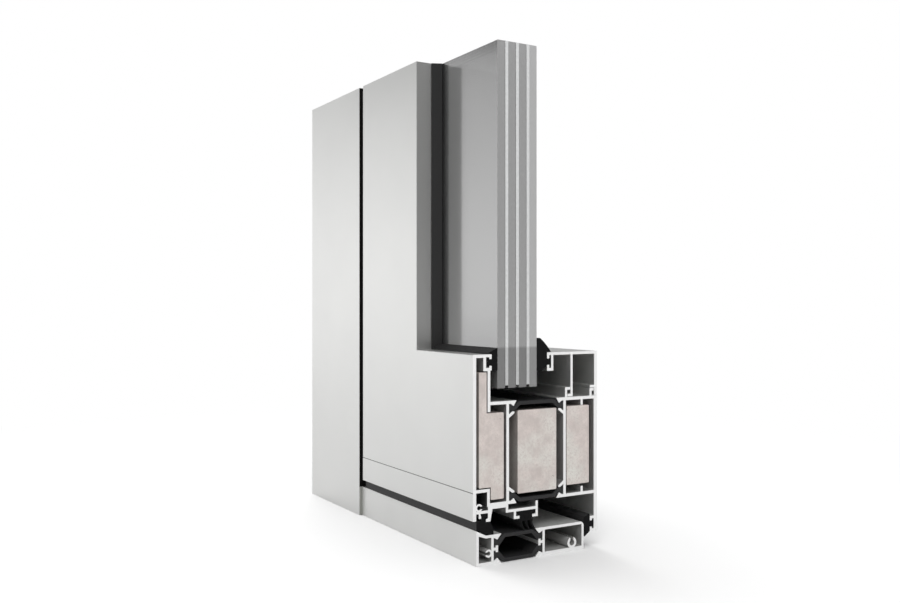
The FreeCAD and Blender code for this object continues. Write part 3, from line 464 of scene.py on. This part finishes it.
def satin_aluminium(name, along, metal, pale, dark):
    """Anodised metal with die lines along one axis, 0 for X and 2 for Z."""
    finish, tree, shader = new_finish(name, Metallic=metal)
    stretch = [1.0, 1.0, 1.0]
    stretch[along] = DIE_LINE_STRETCH
    lines = noise(tree, DIE_LINES, detail=3.0, roughness=0.6, stretch=stretch)
    grain = noise(tree, ETCH_GRAIN)
    cloud = marks(tree, SOFT_CLOUDS, detail=3.0)
    join(tree, two_colours(tree, cloud, pale, dark), shader.inputs["Base Color"])
    lined = spread(tree, lines, *LINE_ROUGHNESS)
    rough = mixed_value(tree, spread(tree, grain, 0.0, 1.0), lined, GRAIN_ROUGHNESS)
    join(tree, rough, shader.inputs["Roughness"])
    relief = mixed_value(tree, spread(tree, grain, 0.0, 0.5, 0.0, 1.0), lines, grain)
    add_bump(tree, shader, relief, SATIN_DEPTH, strength=0.6)
    return finish


satin_upright = satin_aluminium("satin_aluminium_upright", 2, SATIN_METAL, SILVER, SILVER_DARK)
satin_level = satin_aluminium("satin_aluminium_level", 0, SATIN_METAL, SILVER, SILVER_DARK)
trodden = satin_aluminium("trodden_aluminium", 0, TRODDEN_METAL, TRODDEN, TRODDEN_DARK)
print("finishes:", satin_upright.name, satin_level.name, trodden.name)

# %% [markdown]
# Sawn aluminium
#
# The ends are cut with a fine circular saw and left bare. Seen from the front they are the
# brightest thing on the sample: the blade leaves shallow arcs that scatter the light, so the metal
# looks almost white. That is why the shader isn't metallic here. The arcs are rings about the
# blade's axle, far below the sample, taken from the distance to that point.

# %% Sawn aluminium
SAWN = (0.985, 0.985, 0.980)
SAWN_DARK = (0.920, 0.920, 0.915)
BLADE_AXLE = (0.0, -0.03, -0.16)
BLADE_PITCH = 0.00045
SAW_SCRATCHES = 5000
SAWN_DEPTH = 0.000012


def saw_arcs(tree, axle, pitch):
    """Bands about a point, one for each pitch, as a circular blade leaves them."""
    place = tree.nodes.new("ShaderNodeTexCoord")
    shift = tree.nodes.new("ShaderNodeVectorMath")
    shift.operation = "SUBTRACT"
    shift.inputs[1].default_value = axle
    join(tree, place.outputs["Object"], shift.inputs[0])
    reach = tree.nodes.new("ShaderNodeVectorMath")
    reach.operation = "LENGTH"
    join(tree, shift.outputs[0], reach.inputs[0])
    turns = tree.nodes.new("ShaderNodeMath")
    turns.operation = "MULTIPLY"
    turns.inputs[1].default_value = 2 * math.pi / pitch
    join(tree, reach.outputs["Value"], turns.inputs[0])
    wave = tree.nodes.new("ShaderNodeMath")
    wave.operation = "SINE"
    join(tree, turns.outputs[0], wave.inputs[0])
    return spread(tree, wave.outputs[0], 0.0, 1.0, -1.0, 1.0)


sawn_aluminium, tree, shader = new_finish("sawn_aluminium", Metallic=0.0)
arcs = saw_arcs(tree, BLADE_AXLE, BLADE_PITCH)
scratch = noise(tree, SAW_SCRATCHES, detail=3.0, roughness=0.6)
uneven = mixed_value(tree, spread(tree, scratch, 0.0, 1.0), arcs, 0.5)
join(tree, two_colours(tree, uneven, SAWN_DARK, SAWN), shader.inputs["Base Color"])
join(tree, spread(tree, scratch, low=0.46, high=0.60), shader.inputs["Roughness"])
add_bump(tree, shader, uneven, SAWN_DEPTH, strength=0.5)
print("finish:", sawn_aluminium.name)

# %% [markdown]
# Thermal strips and rubber
#
# The strips between the metal shells are polyamide filled with glass fibre: nearly black, matt,
# with tiny pale fibre ends. The gaskets are black rubber, a little softer in their sheen and
# deeper black where they are cut. Plain black would look like a hole, so all three get specks,
# and one helper makes them from the size of a speck.

# %% Strips and rubber
ROUGHNESS_SWING = 0.06


def dark_plastic(name, dark, pale, rough, speck_size, depth, **sockets):
    """Black material with fine pale specks, their size and depth in metres."""
    finish, tree, shader = new_finish(name, **sockets)
    speck = noise(tree, 1 / speck_size, detail=2.0, roughness=0.6)
    share = spread(tree, speck, 0.0, 1.0, start=0.58, end=0.78)
    join(tree, two_colours(tree, share, dark, pale), shader.inputs["Base Color"])
    uneven = spread(tree, speck, rough - ROUGHNESS_SWING, rough + ROUGHNESS_SWING)
    join(tree, uneven, shader.inputs["Roughness"])
    add_bump(tree, shader, speck, depth, strength=0.6)
    return finish


strip_plastic = dark_plastic("strip_polyamide", (0.022, 0.022, 0.023), (0.075, 0.075, 0.075),
                             rough=0.55, speck_size=0.00025, depth=0.00002)
rubber = dark_plastic("gasket_rubber", (0.0275, 0.0275, 0.0280), (0.044, 0.044, 0.044),
                      rough=0.50, speck_size=0.00045, depth=0.00003, Specular_IOR_Level=0.35)
cut_rubber = dark_plastic("cut_rubber", (0.0060, 0.0060, 0.0065), (0.014, 0.014, 0.014),
                          rough=0.70, speck_size=0.00020, depth=0.00003, Specular_IOR_Level=0.2)
print("finishes:", strip_plastic.name, rubber.name, cut_rubber.name)

# %% [markdown]
# Fire boards
#
# The fire boards are gypsum based: pinkish grey with soft pale clouds, fine grains and a few open
# pores. Their long faces show only in the slits beside the metal, where they lie in shade. That
# shade is painted: it could be a finish of its own, but the same board with its colours dimmed
# looks right.

# %% Fire board
BOARD = (0.775, 0.696, 0.658)
BOARD_DEEP = (0.610, 0.545, 0.515)
BOARD_PALE = (0.790, 0.782, 0.730)
BOARD_PORE = (0.300, 0.275, 0.260)
BOARD_DEPTH = 0.00006
BOARD_SHADE_TONE = 0.46


def board_finish(name, tone):
    """Clouded board with grains and pores, its colours dimmed by tone, which paints shade."""
    base, deep, pale, pore = (tuple(tone * part for part in colour)
                              for colour in (BOARD, BOARD_DEEP, BOARD_PALE, BOARD_PORE))
    finish, tree, shader = new_finish(name, Roughness=0.9)
    cloud = marks(tree, 42, detail=4.0, roughness=0.55, start=0.48, end=0.68)
    patch = marks(tree, 160, detail=5.0, roughness=0.6, start=0.35, end=0.65)
    grain = marks(tree, 900, detail=4.0, roughness=0.65)
    pores = marks(tree, 330, detail=3.0, start=0.70, end=0.76)
    clouded = two_colours(tree, cloud, two_colours(tree, patch, base, deep), pale)
    speckled = two_colours(tree, grain, deep, clouded)
    grained = two_colours(tree, grain, speckled, clouded)
    join(tree, two_colours(tree, pores, grained, pore), shader.inputs["Base Color"])
    add_bump(tree, shader, mixed_value(tree, pores, grain, 0.0), BOARD_DEPTH, strength=0.7)
    return finish


fire_board = board_finish("fire_board", 1.0)
# The long faces get the board dimmed as painted shade of the slits beside the metal.
shaded_board = board_finish("shaded_board", BOARD_SHADE_TONE)
print("finishes:", fire_board.name, shaded_board.name)

# %% [markdown]
# Glass faces
#
# The glazing is four sheets of float glass with a fire resisting gel between each two. Laminated
# sheets touch without air, so light only bends and mirrors at the two outermost faces. These are
# toned grey, mirror more than plain glass does and let little through, with a coat for the strong
# mirror. Beside the stile's gasket a narrow rim of the glass is painted nearly black, a painted
# shade of the gasket on the glass. The faces inside the stack have the refraction of nothing at
# all, so that the renderer passes them by.

# %% Glass faces
GASKET_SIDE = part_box("stile_glazing_gasket")[1].x
RIM_SHADE = (0.004, 0.004, 0.004)
RIM_START = GASKET_SIDE + 0.0015
RIM_END = GASKET_SIDE + 0.0075

toned_glass, tree, shader = new_finish(
    "toned_glass", Roughness=0.0, IOR=1.52, Transmission_Weight=0.50,
    Coat_Weight=1.0, Coat_IOR=3.4, Coat_Roughness=0.15)
haze = noise(tree, 9)
tone = two_colours(tree, haze, (0.350, 0.352, 0.351), (0.330, 0.332, 0.331))
# Painted shade: a narrow rim beside the stile's gasket goes nearly black.
rim = spread(tree, along_axis(tree, 0), 0.0, 1.0, RIM_START, RIM_END)
join(tree, two_colours(tree, rim, RIM_SHADE, tone), shader.inputs["Base Color"])

inner_glass = drifting_finish("inner_glass", (0.990, 0.992, 0.990), (0.982, 0.984, 0.982), 14, 2.0,
                              Roughness=0.0, IOR=1.0, Transmission_Weight=1.0)
clear_gel = drifting_finish("clear_gel", (0.985, 0.987, 0.985), (0.972, 0.974, 0.972), 25, 3.0,
                            Roughness=0.0, IOR=1.0, Transmission_Weight=1.0)
print("finishes:", toned_glass.name, inner_glass.name, clear_gel.name)

# %% [markdown]
# Glass edges
#
# The ground edges scatter light, so there the sheets look like grey stone, drawn out a little
# along the height. The cut gel is milky. Inside the rebate both get less light, and the rearmost
# pane is lighter than the others, with the bright background just behind it. Real depth of glass
# could give this, at the price of much noise, so the tone changes with the place instead. The
# uncut edge that sits in the stile is closed with black tape.

# %% Glass edges
REBATE_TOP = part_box("rail_glazing_gasket")[1].z
REBATE_FADE = 0.0006
REBATE_DARK = (0.04, 0.04, 0.04)
PANE_SHADE = 0.42
GEL_SHADE = 0.25
REAR_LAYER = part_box("glass_interlayer_3")[0].y
REAR_FADE = 0.001
REAR_SHARE = 0.35
REAR_PALE = (0.90, 0.90, 0.90)
GROUND_DEPTH = 0.00001


def darker_in_rebate(tree, tone, share):
    """A colour that gets a share of the rebate's dark below the rebate's top."""
    low, high = REBATE_TOP - REBATE_FADE, REBATE_TOP + REBATE_FADE
    depth = spread(tree, along_axis(tree, 2), share, 0.0, low, high)
    return two_colours(tree, depth, tone, REBATE_DARK)


ground_glass, tree, shader = new_finish("ground_glass", IOR=1.52, Transmission_Weight=0.25)
frost = noise(tree, 3500, detail=3.0, roughness=0.6, stretch=(1, 1, 0.15))
tone = two_colours(tree, spread(tree, frost, 0.0, 1.0), (0.41, 0.41, 0.41), (0.49, 0.49, 0.49))
rear = spread(tree, along_axis(tree, 1), 0.0, REAR_SHARE, REAR_LAYER, REAR_LAYER + REAR_FADE)
tone = two_colours(tree, rear, tone, REAR_PALE)
tone = darker_in_rebate(tree, tone, PANE_SHADE)
join(tree, tone, shader.inputs["Base Color"])
join(tree, spread(tree, frost, low=0.42, high=0.62), shader.inputs["Roughness"])
add_bump(tree, shader, frost, GROUND_DEPTH, strength=0.5)

cut_gel, tree, shader = new_finish("cut_gel", Roughness=0.35)
milk = marks(tree, 700, detail=3.0)
tone = two_colours(tree, milk, (0.68, 0.69, 0.69), (0.76, 0.77, 0.77))
tone = darker_in_rebate(tree, tone, GEL_SHADE)
join(tree, tone, shader.inputs["Base Color"])

edge_tape = drifting_finish("edge_tape", (0.010, 0.010, 0.010), (0.022, 0.022, 0.022), 1800, 2.0,
                            Roughness=0.6)
print("finishes:", ground_glass.name, cut_gel.name, edge_tape.name)

# %% [markdown]
# Eased edges
#
# A profile leaves the die with edges of a few tenths of a millimetre, and these thin rounds catch
# the light. The nodes have sharp edges, so each gets a copy whose long outer edges are bevelled. A
# Bevel modifier would round the cut ends too. Edges chosen by their run leave the sawn ends sharp,
# and also the mitres, which close tight on the real corner.

# %% Which edges run along and which faces are cut
END_MARGIN = 0.00002
SHARP_TURN = math.radians(32)
STRAIGHT_SHARE = 0.999
SQUARE_SHARE = 0.99


def at_cut_end(face):
    """True for a face that is part of the right hand cut or of the cut top."""
    square = abs(face.normal.x) + abs(face.normal.z) > SQUARE_SHARE
    at_right = face.center.x > high_corner.x - END_MARGIN
    at_top = face.center.z > high_corner.z - END_MARGIN
    return square and (at_right or at_top)


def runs_along(edge, axis):
    """True where an edge lies along one axis, 0 for X and 2 for Z."""
    line = edge.verts[1].co - edge.verts[0].co
    return line.length > 0 and abs(line[axis]) > STRAIGHT_SHARE * line.length


print("edges that turn more than %.0f degrees are eased" % math.degrees(SHARP_TURN))

# %% [markdown]
# The copy's triangles are merged first and its flat faces joined, because a bevel needs whole
# faces. Only edges that stand out are rounded, since the inner corners of a profile stay as they
# are.

# %% Eased copies
MERGE_REACH = 0.000002
FLAT_TURN = math.radians(0.5)


def eased_copy(node, axis, width, segments):
    """A copy of a node with its long outer edges rounded, that stands for the node."""
    source = nodes[node]
    piece = source.copy()
    piece.data = source.data.copy()
    piece.name = node + "_finished"
    piece.parent = None
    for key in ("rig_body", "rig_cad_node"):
        if key in piece:
            del piece[key]
    piece.data.materials.clear()
    scene.collection.objects.link(piece)
    bpy.ops.object.select_all(action="DESELECT")
    piece.select_set(True)
    bpy.context.view_layer.objects.active = piece
    bpy.ops.object.mode_set(mode="EDIT")
    bpy.ops.mesh.select_all(action="SELECT")
    bpy.ops.mesh.remove_doubles(threshold=MERGE_REACH)
    bpy.ops.mesh.dissolve_limited(angle_limit=FLAT_TURN)
    bpy.ops.mesh.select_mode(type="EDGE")
    bpy.ops.mesh.select_all(action="DESELECT")
    mesh = bmesh.from_edit_mesh(piece.data)
    chosen = 0
    for edge in mesh.edges:
        if len(edge.link_faces) != 2 or not runs_along(edge, axis):
            continue
        if edge.calc_face_angle_signed() > SHARP_TURN:
            edge.select = True
            chosen += 1
    bmesh.update_edit_mesh(piece.data)
    if chosen:
        bpy.ops.mesh.bevel(offset_type="OFFSET", offset=width, segments=segments, profile=0.5,
                           affect="EDGES", clamp_overlap=True)
    bpy.ops.object.mode_set(mode="OBJECT")
    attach(piece, "root")
    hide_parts(node)
    return piece, chosen


def finish_piece(piece, body_finish, end_finish=None):
    """Gives a piece its finish, and its cut ends one of their own."""
    piece.data.materials.append(body_finish)
    if end_finish is None:
        return
    piece.data.materials.append(end_finish)
    for face in piece.data.polygons:
        face.material_index = int(at_cut_end(face))


print("nodes to copy or rebuild:", len(nodes))

# %% [markdown]
# Gap between jamb and leaf
#
# The gap is deep and narrow, and looks black from top to bottom. Light from the studio would
# still find its way in here, so the walls that face each other across the gap are painted black,
# a painted shade. Below the leaf the jamb's wall is open to the light and gets a darker satin as
# painted shade, so it is cut in two at the height of the threshold.

# %% Gap between jamb and leaf
# Painted shade: black on the walls across the gap, a darker satin on the jamb's wall at the foot.
gap_painted_shade = drifting_finish("gap_painted_shade", (0.004, 0.004, 0.004), (0.012, 0.012, 0.012), 3000, 3.0,
                            Roughness=0.7, Specular_IOR_Level=0.1)
foot_shade = drifting_finish("foot_shade", (0.50, 0.51, 0.48), (0.42, 0.43, 0.40), 300, 3.0,
                             Metallic=SATIN_METAL, Roughness=0.45)
GAP_SIDES = (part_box("jamb_front_profile")[1].x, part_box("seal_carrier")[0].x)
GAP_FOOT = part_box("threshold_front_profile")[1].z
GAP_MARGIN = 0.0003
ACROSS_GAP = 0.7


def paint_gap_shade(piece):
    """Gives the walls across the gap painted black shade, and the foot a darker painted shade."""
    mesh = bmesh.new()
    mesh.from_mesh(piece.data)
    everything = list(mesh.verts) + list(mesh.edges) + list(mesh.faces)
    bmesh.ops.bisect_plane(mesh, geom=everything, plane_co=(0, 0, GAP_FOOT), plane_no=(0, 0, 1))
    mesh.to_mesh(piece.data)
    mesh.free()
    piece.data.materials.append(foot_shade)
    piece.data.materials.append(gap_painted_shade)
    index = len(piece.data.materials) - 2
    for face in piece.data.polygons:
        beside = min(abs(face.center.x - side) for side in GAP_SIDES) < GAP_MARGIN
        if beside and abs(face.normal.x) > ACROSS_GAP:
            face.material_index = index + int(face.center.z > GAP_FOOT)


print("gap from %.2f to %.2f mm" % tuple(side * 1000 for side in GAP_SIDES))

# %% [markdown]
# Joint between leaf and seal carrier
#
# Leaf and seal carrier touch along a level joint. The small groove between their eased edges lies
# in shade, so the joint shows as a fine dark line over the whole leaf. A real groove would be
# thinner than a pixel, so the shade is painted as a dark finish on the rounded edges.

# %% Joint between leaf and seal carrier
# Painted shade: the dark line of the groove along the joint.
joint_painted_shade = drifting_finish("joint_painted_shade", (0.060, 0.060, 0.058), (0.120, 0.120, 0.116), 2500, 3.0,
                             Roughness=0.85)
JOINT_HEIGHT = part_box("seal_carrier")[1].z
JOINT_REACH = 0.0004
EASED_TILT = (0.1, 0.999)


def paint_joint_shade(piece):
    """Gives the eased edges along the joint the dark finish of painted shade."""
    piece.data.materials.append(joint_painted_shade)
    index = len(piece.data.materials) - 1
    front = low_corner.y + JOINT_REACH
    for face in piece.data.polygons:
        near = abs(face.center.z - JOINT_HEIGHT) < JOINT_REACH and face.center.y < front
        if near and EASED_TILT[0] < abs(face.normal.z) < EASED_TILT[1]:
            face.material_index = index


print("joint at %.1f mm" % (JOINT_HEIGHT * 1000))

# %% [markdown]
# Chambers of seal carrier and threshold
#
# Nobody polishes the inside of a chamber, so its walls are bare and dull, and the shade inside is
# painted into their colour. The small chamber of the seal carrier gets painted shade, nearly black.
# Rail and carrier share its walls, so a wall belongs to it by its place.

# %% Chamber of the seal carrier


def chamber_shade_finish(name, pale, dark):
    """Rough bare metal, its colour darkened as painted shade."""
    return drifting_finish(name, pale, dark, 400, 3.0, Metallic=0.60, Roughness=0.5)


# Painted shade of the chambers: dull for the threshold's walls, nearly black for the carrier's.
dull_chamber_shade = chamber_shade_finish("dull_chamber_shade", (0.66, 0.66, 0.65), (0.56, 0.56, 0.55))
dark_chamber_shade = chamber_shade_finish("dark_chamber_shade", (0.15, 0.15, 0.15), (0.11, 0.11, 0.11))
CARRIER_CHAMBER_FRONT = low_corner.y + 0.0006
CARRIER_CHAMBER_BACK = low_corner.y + 0.0085
CARRIER_CHAMBER_TOP = JOINT_HEIGHT + 0.002


def shade_carrier_chamber(piece):
    """Gives the walls of the small chamber at the seal carrier the nearly black painted shade."""
    piece.data.materials.append(dark_chamber_shade)
    index = len(piece.data.materials) - 1
    for face in piece.data.polygons:
        inside = CARRIER_CHAMBER_FRONT < face.center.y < CARRIER_CHAMBER_BACK
        if inside and face.center.z < CARRIER_CHAMBER_TOP and face.material_index == 0:
            face.material_index = index


print("finishes:", dull_chamber_shade.name, dark_chamber_shade.name)

# %% [markdown]
# A threshold profile has a chamber of its own, and its walls look at each other. They could be
# listed by hand, but a ray finds them: a wall is inside when a ray from its middle meets another
# wall of the same piece within a short space.

# %% Chambers of the threshold
CHAMBER_REACH = 0.03
WALL_OFFSET = 0.00001


def shade_dull_chambers(piece):
    """Gives the walls inside a hollow profile the dull finish, darkened as painted shade."""
    mesh = bmesh.new()
    mesh.from_mesh(piece.data)
    walls = BVHTree.FromBMesh(mesh)
    mesh.free()
    piece.data.materials.append(dull_chamber_shade)
    index = len(piece.data.materials) - 1
    inside = 0
    for face in piece.data.polygons:
        if face.material_index:
            continue
        start = face.center + face.normal * WALL_OFFSET
        if walls.ray_cast(start, face.normal, CHAMBER_REACH)[0] is not None:
            face.material_index = index
            inside += 1
    print(piece.name, "walls inside:", inside)


print("walls up to %.0f mm apart count as a chamber" % (CHAMBER_REACH * 1000))

# %% [markdown]
# The metal pieces
#
# Jamb and stile stand upright, all other profiles lie level. Each gets the satin finish that runs
# its way and bright sawn ends, then what is its own: painted shade in the gap, in the joint or in
# the dull chambers. A loop over three groups does it, because the pieces differ only in that.

# %% Metal pieces
UPRIGHT_METAL = ("jamb_front_profile", "jamb_back_profile", "stile_front_profile",
                 "stile_back_profile", "stile_glazing_bead")
LEVEL_METAL = ("rail_front_profile", "rail_back_profile", "rail_glazing_bead", "seal_carrier")
THRESHOLD_METAL = ("threshold_front_profile", "threshold_back_profile")
METAL_EDGE = 0.00022
METAL_EDGE_STEPS = 2
METAL_GROUPS = ((UPRIGHT_METAL, 2, satin_upright), (LEVEL_METAL, 0, satin_level),
                (THRESHOLD_METAL, 0, trodden))

for names, axis, finish in METAL_GROUPS:
    for node in names:
        piece, chosen = eased_copy(node, axis, METAL_EDGE, METAL_EDGE_STEPS)
        finish_piece(piece, finish, sawn_aluminium)
        if node in ("jamb_front_profile", "stile_front_profile"):
            paint_gap_shade(piece)
        if node in ("rail_front_profile", "seal_carrier"):
            paint_joint_shade(piece)
            shade_carrier_chamber(piece)
        if node in THRESHOLD_METAL:
            shade_dull_chambers(piece)
        print(piece.name, "eased edges:", chosen, "faces:", len(piece.data.polygons))

# %% [markdown]
# Strips, gaskets and boards
#
# The strips are moulded with edges a little sharper than the metal's, the rubber is as round as
# the metal, and the boards are broken at theirs. The same helper makes them all. Each line gives
# the slot, the finish, the finish of the cut ends, the width of the round, its steps, and the word
# on which the names of the nodes end.

# %% Strips, gaskets and boards
SOFT_PIECES = (
    ("thermal_strip", strip_plastic, None, 0.00018, 1, "strip"),
    ("gasket_rubber", rubber, cut_rubber, 0.00022, 2, "gasket"),
    ("fire_board", shaded_board, fire_board, 0.00030, 1, "board"),
)

for slot, finish, cut_finish, width, segments, word in SOFT_PIECES:
    for node in sorted(nodes):
        if not node.endswith(word):
            continue
        axis = 2 if node.startswith(("jamb", "stile")) else 0
        piece, chosen = eased_copy(node, axis, width, segments)
        finish_piece(piece, finish, cut_finish)
        print(piece.name, "eased edges:", chosen)

# %% [markdown]
# The glazing
#
# A glazier takes the sharp arris off every edge of a sheet, which leaves a narrow ground chamfer.
# The nodes could be copied as before, but a sheet is only a box, so each is a cube set to the
# node's box, with all its edges bevelled. The gel layers between are cubes too. They are a hair
# thinner than the gap, because faces in one place would flicker.

# %% Glass blocks
ARRIS = 0.0002
LARGE_FACE = 0.9
STILE_EDGE = -0.6
CLEAR, EDGE, TAPE, OUTER = range(4)


def block(name, low, high):
    """A cube moved and sized to fill the space between two corners, its place in its mesh."""
    bpy.ops.object.select_all(action="DESELECT")
    bpy.ops.mesh.primitive_cube_add(size=1, location=(low + high) / 2)
    piece = bpy.context.object
    piece.name = name
    piece.scale = high - low
    bpy.ops.object.transform_apply(location=True, rotation=True, scale=True)
    return piece


def bevel_all(piece, width):
    """Bevels every edge of a block."""
    bpy.ops.object.mode_set(mode="EDIT")
    bpy.ops.mesh.select_all(action="SELECT")
    bpy.ops.mesh.bevel(offset_type="OFFSET", offset=width, segments=1, affect="EDGES")
    bpy.ops.object.mode_set(mode="OBJECT")


def glaze(piece, node, face_finish, edge_finish, outer_finish=None, outer_side=0):
    """Clear large faces, ground or milky edges, tape in the stile, toned on an outer side."""
    for finish in (face_finish, edge_finish, edge_tape):
        piece.data.materials.append(finish)
    if outer_finish:
        piece.data.materials.append(outer_finish)
    for face in piece.data.polygons:
        face.material_index = EDGE if abs(face.normal.y) < LARGE_FACE else CLEAR
        if face.normal.x < STILE_EDGE:
            face.material_index = TAPE
        if outer_finish and face.normal.y * outer_side > LARGE_FACE:
            face.material_index = OUTER
    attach(piece, "root")
    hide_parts(node)


print("arris: %.1f mm" % (ARRIS * 1000))

# %% Glass sheets and layers
LAYER_PLAY = 0.00002
panes = sorted(name for name in nodes if name.startswith("glass_pane"))
layers = sorted(name for name in nodes if name.startswith("glass_interlayer"))
outer_sides = {panes[0]: -1, panes[-1]: 1}

for node in panes:
    low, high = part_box(node)
    sheet = block(node + "_sheet", low, high)
    bevel_all(sheet, ARRIS)
    if node in outer_sides:
        side = outer_sides[node]
        glaze(sheet, node, inner_glass, ground_glass, toned_glass, side)
    else:
        glaze(sheet, node, inner_glass, ground_glass)
    print(sheet.name, "thickness in mm:", round((high.y - low.y) * 1000, 2))

for node in layers:
    low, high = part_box(node)
    play = Vector((0, LAYER_PLAY, 0))
    layer = block(node + "_layer", low + play, high - play)
    glaze(layer, node, clear_gel, cut_gel)
    print(layer.name, "thickness in mm:", round((high.y - low.y) * 1000, 2))

# %% [markdown]
# Light bounces and the end
#
# A ray that goes through the whole stack meets fourteen faces, so light may turn more often than
# usual. The finished pieces must stay inside the construction's box.

# %% Colour view and light bounces
scene.view_settings.view_transform = "Standard"
scene.cycles.max_bounces = 24
scene.cycles.transmission_bounces = 20
scene.cycles.glossy_bounces = 12
